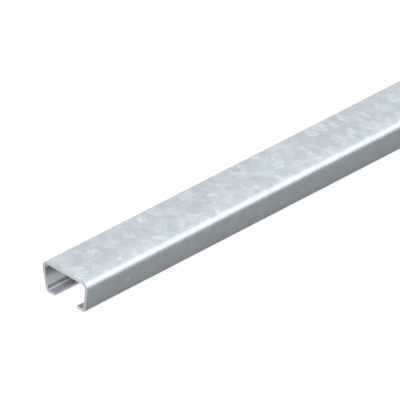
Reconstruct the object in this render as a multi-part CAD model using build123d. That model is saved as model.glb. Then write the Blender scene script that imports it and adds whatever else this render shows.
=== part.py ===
from build123d import *
import math
import os

os.makedirs("parts", exist_ok=True)

# All sizes are in millimetres. The channel lies as in the photo: lips on the floor, web on top.
# X runs across the channel, Y along it and Z up. The origin is on the floor, midway along the slot.

# Stock as sold: one ready-cut length.
length = 500.0

# Overall section, measured over the outside of the bends at the web.
width = 35.0
height = 19.0

# Thickness of the strip that the section is rolled from.
wall = 1.75

# Clear mouth between the two lips, for the shank of a bolt.
slot = 17.5

# Outside radii of the bends at the web and at the lips.
web_bend = 4.25
lip_bend = 3.0

# How far each side wall leans in towards the lips, in degrees from upright.
lean_angle = 9.0

# A bend is wider than the wall that leans in below it, so the overall width is measured there.
# From the middle of the bend out to where the wall and web would meet if the bend were sharp:
lean = math.radians(lean_angle)
bend_reach = web_bend * (1 + math.sin(lean)) / math.cos(lean)
web_corner = width / 2 - web_bend + bend_reach

# The same wall meets the underside of its lip nearer the middle.
lip_corner = web_corner - height * math.tan(lean)

with BuildPart() as channel:
    with BuildSketch(Plane.XZ) as section:
        # Outline over the web, the walls and the lips.
        with BuildLine():
            Polyline(
                (-lip_corner, 0),
                (lip_corner, 0),
                (web_corner, height),
                (-web_corner, height),
                close=True,
            )
        make_face()
        fillet(section.vertices().group_by(Axis.Y)[-1], web_bend)
        fillet(section.vertices().group_by(Axis.Y)[0], lip_bend)

        # The hollow follows the outline at one strip thickness.
        offset(amount=-wall, mode=Mode.SUBTRACT)

        # The mouth opens the hollow to the floor and leaves the two square-edged lips.
        Rectangle(slot, height, mode=Mode.SUBTRACT)
    extrude(amount=length / 2, both=True)

export_step(channel.part, "parts/anchor_channel.step")
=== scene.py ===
from math import cos, radians, sin

import bpy
from mathutils import Matrix, Vector


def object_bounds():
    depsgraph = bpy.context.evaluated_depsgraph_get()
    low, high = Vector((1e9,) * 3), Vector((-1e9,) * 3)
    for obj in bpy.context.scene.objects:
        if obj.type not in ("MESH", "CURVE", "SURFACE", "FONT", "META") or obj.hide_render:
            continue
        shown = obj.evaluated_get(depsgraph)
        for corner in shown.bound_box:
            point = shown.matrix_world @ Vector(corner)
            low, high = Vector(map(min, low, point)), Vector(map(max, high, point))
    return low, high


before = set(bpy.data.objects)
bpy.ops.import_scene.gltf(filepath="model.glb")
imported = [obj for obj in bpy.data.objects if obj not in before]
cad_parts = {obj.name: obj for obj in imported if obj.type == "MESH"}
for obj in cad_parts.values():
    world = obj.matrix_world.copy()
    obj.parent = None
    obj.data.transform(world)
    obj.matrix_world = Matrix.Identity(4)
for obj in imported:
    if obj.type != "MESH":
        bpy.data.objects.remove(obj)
cad_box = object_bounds()
low, high = cad_box
MM = 0.001
WHITE = (1, 1, 1, 1)


# Node helpers

class Nodes:
    """Adds nodes to one node tree and links them."""

    def __init__(self, tree):
        self.tree = tree
        tree.nodes.clear()

    def add(self, kind, settings=None, **inputs):
        """A node of this kind. An input is a value, or the output socket that feeds it."""
        node = self.tree.nodes.new(kind)
        for name, value in (settings or {}).items():
            setattr(node, name, value)
        for name, value in inputs.items():
            self.feed(node.inputs[name.replace("_", " ")], value)
        return node

    def feed(self, socket, value):
        """Links a socket to an output, or sets its value."""
        if isinstance(value, bpy.types.NodeSocket):
            self.tree.links.new(value, socket)
        else:
            socket.default_value = value

    def math(self, operation, *values):
        """The result of a Math node."""
        node = self.add("ShaderNodeMath", {"operation": operation})
        for socket, value in zip(node.inputs, values):
            self.feed(socket, value)
        return node.outputs[0]

    def vector(self, operation, *values, result="Vector"):
        """The result of a Vector Math node."""
        node = self.add("ShaderNodeVectorMath", {"operation": operation})
        for socket, value in zip(node.inputs, values):
            self.feed(socket, value)
        return node.outputs[result]

    def axis(self, vector, letter):
        """The X, Y or Z of a vector."""
        return self.add("ShaderNodeSeparateXYZ", Vector=vector).outputs[letter]

    def fade(self, value, start, end, least=0.0):
        """A number that goes from least at start to 1 at end, and stays level past both."""
        node = self.add("ShaderNodeMapRange", Value=value, From_Min=start, From_Max=end, To_Min=least)
        return node.outputs["Result"]

    def tinted(self, colour, light):
        """A colour made lighter or darker by a number."""
        node = self.add("ShaderNodeVectorMath", {"operation": "SCALE"}, Vector=colour, Scale=light)
        return node.outputs["Vector"]

    def mix(self, factor, first, second, data_type="RGBA"):
        """A colour between first and second."""
        node = self.add("ShaderNodeMix", {"data_type": data_type})
        self.feed(node.inputs["Factor"], factor)
        self.feed(node.inputs["A"], first)
        self.feed(node.inputs["B"], second)
        return node.outputs["Result"]

    def blend(self, factor, first, second):
        """A number between first and second."""
        return self.mix(factor, first, second, "FLOAT")

    def ramp(self, factor, stops):
        """A colour ramp through (position, colour) stops."""
        node = self.add("ShaderNodeValToRGB", Fac=factor)
        elements = node.color_ramp.elements
        while len(elements) < len(stops):
            elements.new(1.0)
        for element, (position, colour) in zip(elements, stops):
            element.position = position
            element.color = colour
        return node.outputs["Color"]


# Places on the channel

# Where the two lips stop, and how thick they are. A cut face is found this near to either.
SLOT_HALF = 8.75 * MM
WALL = 1.75 * MM
CUT_MARGIN = 0.05 * MM

# How squarely a sheared end faces along the channel.
END_FACING = 0.9

# The hollow's faces score below this, the outer ones above.
INSIDE_LIMIT = -1 * MM

# How soon the look of the level faces gives way to that of the bends.
FLAT_SHARPNESS = 5.0

# A painted highlight, a thin light line inside each lip bend: from here outwards, and below this
# height.
LIP_HIGHLIGHT_EDGE = 12.75 * MM
LIP_HIGHLIGHT_TOP = 2.3 * MM

# Painted light: the level faces grow lighter towards the bends at +X, standing in for the glow of the
# highlight along that bend.
BEND_GLOW = 0.11
BEND_GLOW_START = 3 * MM
BEND_GLOW_END = 12.5 * MM

# Painted highlight on the cuts: most on the web and the lips, less on the wall at -X and none on the
# wall at +X.
CUT_HIGHLIGHT = 0.32
LEFT_CUT_HIGHLIGHT = 0.55
CUT_HIGHLIGHT_END = 15 * MM
CUT_HIGHLIGHT_FULL = 13 * MM


def cut_faces(n, coords):
    """1 on the sheared ends and on the slit edges of the lips, otherwise 0."""
    along = n.math("ABSOLUTE", n.axis(coords.outputs["Normal"], "Y"))
    at_end = n.math("GREATER_THAN", along, END_FACING)
    across = n.math("ABSOLUTE", n.axis(coords.outputs["Object"], "X"))
    by_slot = n.math("LESS_THAN", across, SLOT_HALF + CUT_MARGIN)
    by_lip = n.math("LESS_THAN", n.axis(coords.outputs["Object"], "Z"), WALL + CUT_MARGIN)
    return n.math("MAXIMUM", at_end, n.math("MULTIPLY", by_slot, by_lip))


def inside_faces(n, coords):
    """1 where the surface faces the middle of the hollow, otherwise 0."""
    middle = (0, 0, (low.z + high.z) / 2)
    from_middle = n.vector("SUBTRACT", coords.outputs["Object"], middle)
    outward = n.vector("MULTIPLY", from_middle, (1, 0, 1))
    facing = n.vector("DOT_PRODUCT", outward, coords.outputs["Normal"], result="Value")
    return n.math("LESS_THAN", facing, INSIDE_LIMIT)


def flat_faces(n, coords):
    """1 on the level faces, the web and the lips, and soon down to 0 on the bends."""
    level = n.math("ABSOLUTE", n.axis(coords.outputs["Normal"], "Z"))
    return n.math("POWER", level, FLAT_SHARPNESS)


def upright_faces(n, coords):
    """Nearly 1 on the side walls, 0 on the web and the lips, and between the two on the bends."""
    return n.math("ABSOLUTE", n.axis(coords.outputs["Normal"], "X"))


def painted_lip_bend_highlight(n, coords):
    """1 on the painted highlight, a thin light line inside each lip bend, otherwise 0."""
    across = n.math("ABSOLUTE", n.axis(coords.outputs["Object"], "X"))
    beside = n.math("GREATER_THAN", across, LIP_HIGHLIGHT_EDGE)
    under = n.math("LESS_THAN", n.axis(coords.outputs["Object"], "Z"), LIP_HIGHLIGHT_TOP)
    return n.math("MULTIPLY", n.math("MULTIPLY", beside, under), inside_faces(n, coords))


def painted_bend_glow(n, coords):
    """How much lighter the zinc is on the level faces towards the bends at +X: painted light."""
    near = n.fade(n.axis(coords.outputs["Object"], "X"), BEND_GLOW_START, BEND_GLOW_END)
    glowing = n.math("MULTIPLY", near, flat_faces(n, coords))
    return n.math("MULTIPLY_ADD", glowing, BEND_GLOW, 1.0)


def painted_cut_highlight(n, coords):
    """How much lighter the cuts are, a painted highlight: most on the web and the lips, not on the
    wall at +X.
    """
    across = n.axis(coords.outputs["Object"], "X")
    right = n.fade(across, CUT_HIGHLIGHT_END, CUT_HIGHLIGHT_FULL)
    left = n.fade(across, -CUT_HIGHLIGHT_END, -CUT_HIGHLIGHT_FULL, LEFT_CUT_HIGHLIGHT)
    return n.math("MULTIPLY_ADD", n.math("MULTIPLY", right, left), CUT_HIGHLIGHT, 1.0)


# Finish

# Crystals and small flecks to the metre. They lie closer along the channel than across it.
CRYSTALS = 170.0
FLECKS = 330.0
SQUEEZE = (1, 1.35, 1)

# How far the edges of the crystals wander, and how finely.
WANDER = (3 * MM, 3 * MM, 3 * MM)
WANDER_SCALE = 180.0
WANDER_DETAIL = 3.0

# A crystal's brightness: the share that the flecks have in it, and where the brightest flecks begin.
FLECK_SHARE = 0.3
FLECK_LIGHT = 0.35
BRIGHT_START = 0.82
BRIGHT_FULL = 0.95

# Few crystals are bright, and the middle one leaves the tint as it is.
BRIGHT_CURVE = 1.5
BRIGHT_MIDDLE = 0.4

# How far the crystals differ in brightness: less where the rolls bent the strip.
WEB_CONTRAST = 0.24
BENT_CONTRAST = 0.18

# Tints of the zinc crystals.
ZINC_TINTS = [
    (0.0, (0.525, 0.566, 0.616, 1)),
    (0.35, (0.525, 0.579, 0.615, 1)),
    (0.7, (0.520, 0.592, 0.634, 1)),
    (1.0, (0.525, 0.583, 0.599, 1)),
]

# The side walls are a little greyer and show less spangle. Their greyer tint is partly painted
# reflection, matched to the colour that the walls mirror.
SIDE_TINT = (0.548, 0.605, 0.618, 1)
SIDE_TINT_SHARE = 0.5

# Inside the hollow the zinc is smoother, greyer and milkier. The inner walls get a lighter tint than
# the lips, and that difference is painted light.
INSIDE_WALL_TINT = (0.504, 0.562, 0.594, 1)
INSIDE_LIP_TINT = (0.50, 0.515, 0.54, 1)
INSIDE_TINT_SHARE = 0.65
# Light colour of the painted highlight inside each lip bend, standing in for a reflection.
LIP_HIGHLIGHT_TINT = (0.70, 0.71, 0.74, 1)

# Bare steel of the cuts, with a fine grit.
BARE_TINTS = [
    (0.3, (0.473, 0.505, 0.527, 1)),
    (0.7, (0.55, 0.583, 0.606, 1)),
]
GRIT_SCALE = 2500.0
GRIT_DETAIL = 2.0

# How much the surface acts as metal: less where the zinc is milky or the steel is torn.
METALLIC = 0.75
INSIDE_METALLIC = 0.5
# Less metal on the painted highlight inside the lip bends, so that its light colour shows.
LIP_HIGHLIGHT_METALLIC = 0.2
CUT_METALLIC = 0.3

# The crystals dull the web, each by its own amount. The rolls have polished the bends.
WEB_ROUGHNESS = 0.42
ROUGHNESS = 0.21
INSIDE_ROUGHNESS = 0.12
CUT_ROUGHNESS = 0.45
ROUGHNESS_SPREAD = 0.08
EVEN_DULLNESS = 0.5

# Slight waves in the zinc, with the crystals standing out of them.
WAVE_SCALE = 350.0
WAVE_DETAIL = 3.0
CRYSTAL_RELIEF = 0.3
BUMP_STRENGTH = 0.5
BUMP_DEPTH = 0.02 * MM


def galvanised(material):
    """Strip-galvanised steel: soft blue-grey zinc spangle, and bare steel where the strip was cut."""
    material.use_nodes = True
    n = Nodes(material.node_tree)
    coords = n.add("ShaderNodeTexCoord")
    place = coords.outputs["Object"]
    flat = flat_faces(n, coords)
    upright = upright_faces(n, coords)
    inside = inside_faces(n, coords)
    lip_bend_highlight = painted_lip_bend_highlight(n, coords)
    cut = cut_faces(n, coords)

    # Crystals with wandering edges, and the flecks among them
    wander = n.add("ShaderNodeTexNoise", Vector=place, Scale=WANDER_SCALE, Detail=WANDER_DETAIL)
    pushed = n.vector("MULTIPLY_ADD", wander.outputs["Color"], WANDER, place)
    pushed = n.vector("MULTIPLY", pushed, SQUEEZE)
    crystal = n.add("ShaderNodeTexVoronoi", Vector=pushed, Scale=CRYSTALS)
    fleck = n.add("ShaderNodeTexVoronoi", {"distance": "MANHATTAN"}, Vector=pushed, Scale=FLECKS)
    pick = n.add("ShaderNodeSeparateColor", Color=crystal.outputs["Color"])
    small = n.add("ShaderNodeSeparateColor", Color=fleck.outputs["Color"])
    level = n.blend(FLECK_SHARE, pick.outputs["Red"], small.outputs["Red"])
    bright = n.fade(small.outputs["Green"], BRIGHT_START, BRIGHT_FULL)
    level = n.math("MULTIPLY_ADD", bright, FLECK_LIGHT, level)

    # Colour of the zinc, outside and inside
    shift = n.math("SUBTRACT", n.math("POWER", level, BRIGHT_CURVE), BRIGHT_MIDDLE)
    contrast = n.blend(flat, BENT_CONTRAST, WEB_CONTRAST)
    light = n.math("MULTIPLY_ADD", shift, contrast, 1.0)
    # Painted light on the level faces near the bends at +X.
    light = n.math("MULTIPLY", light, painted_bend_glow(n, coords))
    zinc = n.tinted(n.ramp(pick.outputs["Blue"], ZINC_TINTS), light)
    # Side walls: evened spangle, and a tint that is partly painted reflection.
    zinc = n.mix(n.math("MULTIPLY", upright, SIDE_TINT_SHARE), zinc, SIDE_TINT)
    # Inner walls lighter than the inner lips: painted light.
    inside_tint = n.mix(upright, INSIDE_LIP_TINT, INSIDE_WALL_TINT)
    zinc = n.mix(n.math("MULTIPLY", inside, INSIDE_TINT_SHARE), zinc, inside_tint)
    # Painted highlight along the inside of each lip bend.
    zinc = n.mix(lip_bend_highlight, zinc, LIP_HIGHLIGHT_TINT)

    # Colour of the cuts, with a painted highlight
    grit = n.add("ShaderNodeTexNoise", Vector=place, Scale=GRIT_SCALE, Detail=GRIT_DETAIL)
    bare = n.tinted(n.ramp(grit.outputs["Fac"], BARE_TINTS), painted_cut_highlight(n, coords))

    # Roughness, metal and relief
    smooth = n.blend(flat, ROUGHNESS, WEB_ROUGHNESS)
    smooth = n.blend(inside, smooth, INSIDE_ROUGHNESS)
    dullness = n.blend(flat, EVEN_DULLNESS, pick.outputs["Green"])
    roughness = n.math("MULTIPLY_ADD", dullness, ROUGHNESS_SPREAD, smooth)
    metallic = n.blend(inside, METALLIC, INSIDE_METALLIC)
    metallic = n.blend(lip_bend_highlight, metallic, LIP_HIGHLIGHT_METALLIC)
    waves = n.add("ShaderNodeTexNoise", Vector=place, Scale=WAVE_SCALE, Detail=WAVE_DETAIL)
    height = n.math("MULTIPLY_ADD", level, CRYSTAL_RELIEF, waves.outputs["Fac"])
    bump = n.add("ShaderNodeBump", Height=height, Strength=BUMP_STRENGTH, Distance=BUMP_DEPTH)
    shader = n.add(
        "ShaderNodeBsdfPrincipled",
        Normal=bump.outputs["Normal"],
        Base_Color=n.mix(cut, zinc, bare),
        Roughness=n.blend(cut, roughness, CUT_ROUGHNESS),
        Metallic=n.blend(cut, metallic, CUT_METALLIC),
    )
    n.add("ShaderNodeOutputMaterial", Surface=shader.outputs[0])


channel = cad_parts["anchor_channel"]
galvanised(channel.material_slots[0].material)


# Floor and background, white to the camera and in reflections

FLOOR_SIZE = 40.0
FLOOR_COLOUR = (0.16, 0.16, 0.16, 1)
FLOOR_GLOW = 0.9
SOFT_LIGHT = (0.25, 0.253, 0.256, 1)

# In reflections the floor is dimmer beside the channel. The shade sets in at the edge of the mouth,
# thins out away from the channel and ends a little way past each end.
FOOT_SHADE = 0.70
MOUTH_SHADE = 0.05
MOUTH_EDGE = (10 * MM, 14 * MM)
SIDE_FADE = (300 * MM, 16 * MM)
END_FADE = (450 * MM, 250 * MM)


def seen_directly(n):
    """1 for rays from the camera and for reflected and refracted rays, otherwise 0."""
    path = n.add("ShaderNodeLightPath")
    either = n.math("MAXIMUM", path.outputs["Is Camera Ray"], path.outputs["Is Glossy Ray"])
    return n.math("MAXIMUM", either, path.outputs["Is Transmission Ray"])


def foot_shade(n):
    """How dim the floor is in reflections: 1 at the foot of each side wall, little in the mouth."""
    place = n.add("ShaderNodeTexCoord").outputs["Object"]
    across = n.math("ABSOLUTE", n.axis(place, "X"))
    along = n.math("ABSOLUTE", n.axis(place, "Y"))
    shade = n.fade(across, *MOUTH_EDGE, MOUTH_SHADE)
    shade = n.math("MULTIPLY", shade, n.fade(across, *SIDE_FADE))
    return n.math("MULTIPLY", shade, n.fade(along, *END_FADE))


def studio_floor():
    """A pale floor that reads as white and keeps a faint shadow."""
    bpy.ops.mesh.primitive_plane_add(size=FLOOR_SIZE, location=(0, 0, low.z))
    floor = bpy.context.object
    floor.name = "floor"
    material = bpy.data.materials.new("floor")
    material.use_nodes = True
    n = Nodes(material.node_tree)
    diffuse = n.add("ShaderNodeBsdfDiffuse", Color=FLOOR_COLOUR)
    path = n.add("ShaderNodeLightPath")
    mirrored = n.math("MULTIPLY", path.outputs["Is Glossy Ray"], foot_shade(n))
    dim = n.math("MULTIPLY_ADD", mirrored, -FOOT_SHADE, 1.0)
    strength = n.math("MULTIPLY", n.math("MULTIPLY", seen_directly(n), dim), FLOOR_GLOW)
    glow = n.add("ShaderNodeEmission", Color=WHITE, Strength=strength)
    both = n.add("ShaderNodeAddShader")
    n.feed(both.inputs[0], diffuse.outputs[0])
    n.feed(both.inputs[1], glow.outputs[0])
    n.add("ShaderNodeOutputMaterial", Surface=both.outputs[0])
    floor.data.materials.append(material)


def studio_world():
    """Dim soft light from all round, behind a white background."""
    world = bpy.data.worlds.new("studio")
    bpy.context.scene.world = world
    world.use_nodes = True
    n = Nodes(world.node_tree)
    colour = n.mix(seen_directly(n), SOFT_LIGHT, WHITE)
    background = n.add("ShaderNodeBackground", Color=colour, Strength=1.0)
    n.add("ShaderNodeOutputWorld", Surface=background.outputs[0])


studio_floor()
studio_world()


# Lamps

LAMP_DISTANCE = 8.0


def far_off(*direction):
    """A place in this direction, well away from the channel."""
    return Vector(direction).normalized() * LAMP_DISTANCE


def lamp(name, place, across, along, power, mirrored=True):
    """A soft box that faces the channel. One that is not mirrored leaves no glare on the zinc."""
    data = bpy.data.lights.new(name, "AREA")
    data.shape = "RECTANGLE"
    data.size = across
    data.size_y = along
    data.energy = power
    box = bpy.data.objects.new(name, data)
    back = Vector(place).normalized()
    side = Vector((0, 1, 0)).cross(back).normalized()
    turn = Matrix((side, back.cross(side), back)).transposed().to_4x4()
    box.matrix_world = Matrix.Translation(place) @ turn
    box.visible_glossy = mirrored
    bpy.context.scene.collection.objects.link(box)


lamp("top_box", far_off(-0.35, 0.1, 1.0), across=5.6, along=5.6, power=251.0, mirrored=False)
lamp("bend_box", far_off(0.53, 0.575, 0.68), across=9.5, along=3.0, power=110.0)
lamp("front_box", far_off(0.2, -1.0, 1.2), across=4.0, along=4.0, power=600.0, mirrored=False)


# Camera, fitted to the long edges and the near end in the photograph

AZIMUTH = radians(47.54)
ELEVATION = radians(31.7)
ROLL = radians(-1.37)
SENSOR = 36.0
CLIP_END = 100.0

# The picture's width and the focal length, both in pixels.
IMAGE = 400
FOCAL_PX = 6744.6

# A point just below the top at the near end, the pixel where it shows, and how far ahead it lies.
SIGHT_POINT = Vector((high.x, low.y, high.z - 1 * MM))
SIGHT_PIXEL = (87.2, 285.9)
DISTANCE = 3.527


def studio_camera():
    """Looks past the near end, up along the channel."""
    right = Vector((cos(AZIMUTH), sin(AZIMUTH), 0))
    ahead = Vector((-sin(AZIMUTH) * cos(ELEVATION), cos(AZIMUTH) * cos(ELEVATION), -sin(ELEVATION)))
    up = right.cross(ahead)
    right, up = right * cos(ROLL) + up * sin(ROLL), up * cos(ROLL) - right * sin(ROLL)
    across = (SIGHT_PIXEL[0] - IMAGE / 2) * DISTANCE / FOCAL_PX
    above = (IMAGE / 2 - SIGHT_PIXEL[1]) * DISTANCE / FOCAL_PX
    place = SIGHT_POINT - ahead * DISTANCE - right * across - up * above
    data = bpy.data.cameras.new("camera")
    data.sensor_width = SENSOR
    data.lens = SENSOR * FOCAL_PX / IMAGE
    data.clip_end = CLIP_END
    camera = bpy.data.objects.new("camera", data)
    turn = Matrix((right, up, -ahead)).transposed().to_4x4()
    camera.matrix_world = Matrix.Translation(place) @ turn
    bpy.context.scene.collection.objects.link(camera)
    bpy.context.scene.camera = camera


studio_camera()
bpy.context.scene.view_settings.view_transform = "Standard"
